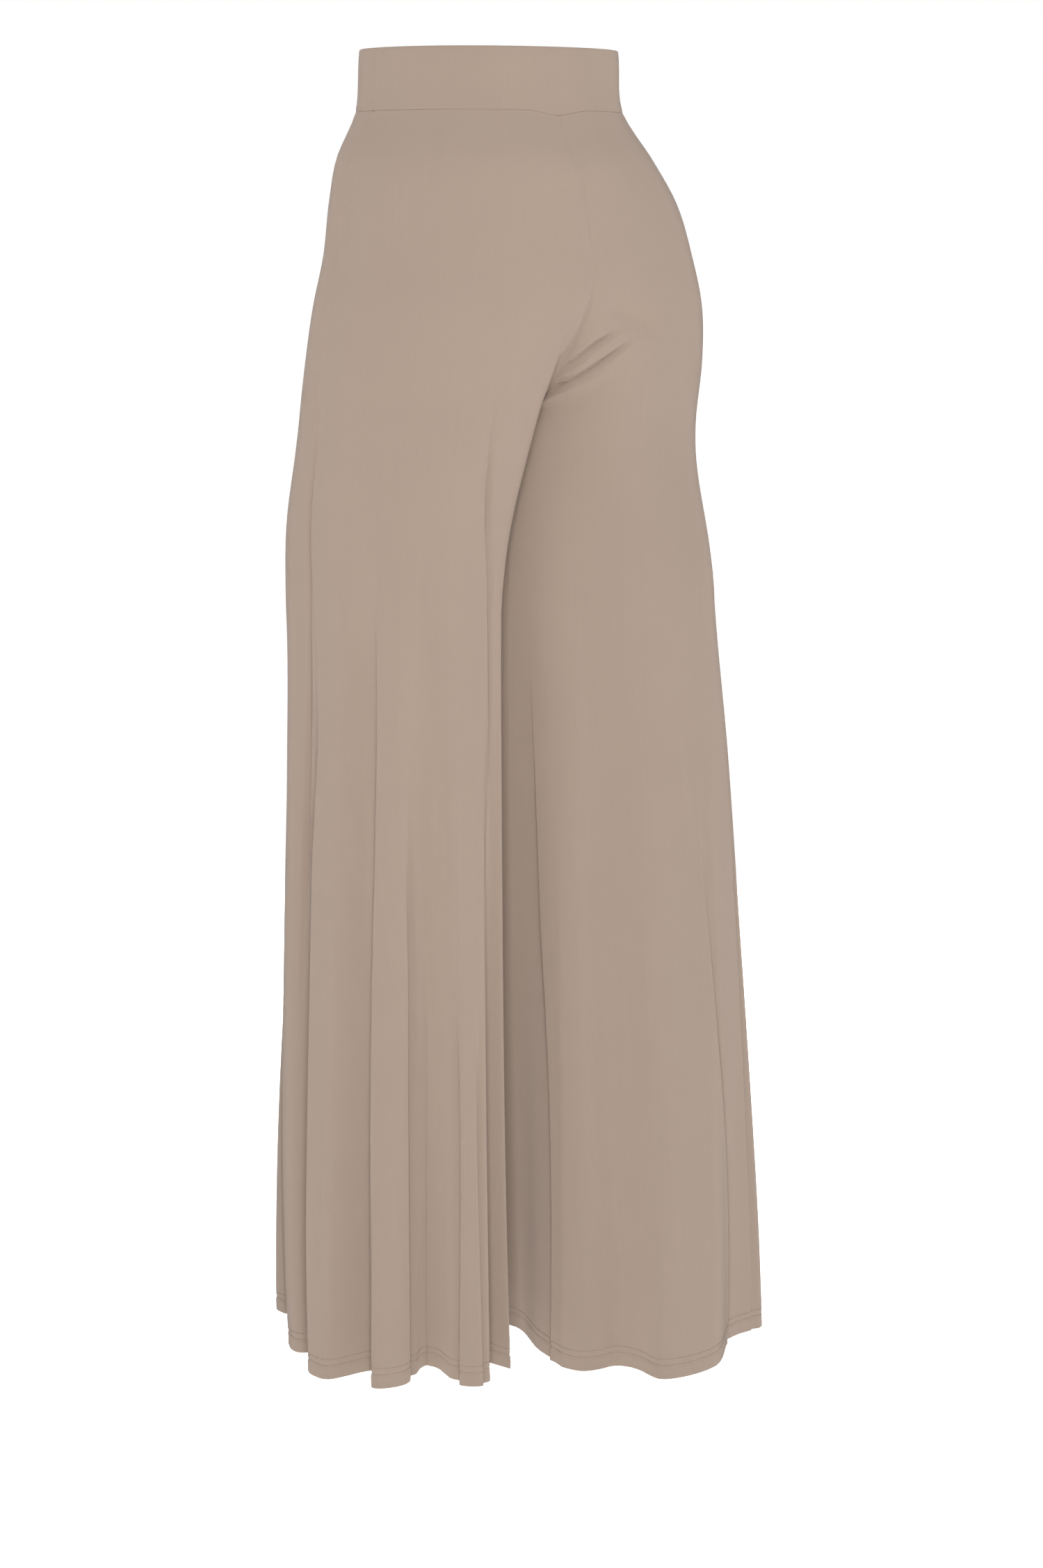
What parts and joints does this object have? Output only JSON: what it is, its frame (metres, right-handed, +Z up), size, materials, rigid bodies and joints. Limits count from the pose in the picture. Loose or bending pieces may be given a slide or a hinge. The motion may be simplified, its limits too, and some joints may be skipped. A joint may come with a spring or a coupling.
{
  "type": "palazzo pants",
  "caption": "High-waisted pull-on palazzo pants in plain taupe knit jersey, worn and hollow, with very wide legs hanging in soft flutes from the hips to a stitched hem.",
  "frame": {"origin": "centre of the waist opening, level with the top edge of the waistband", "axes": "+Z up, the front of the garment faces -Y, the wearer's left is +X"},
  "size_m": [0.3939, 0.3947, 1.0305],
  "materials": {
    "jersey": "matt",
    "waistband_jersey": "matt"
  },
  "bodies": {
    "root": {"waistband": "waistband_jersey", "front_left": "jersey", "front_right": "jersey", "back_left": "jersey", "back_right": "jersey"}
  },
  "joints": []
}
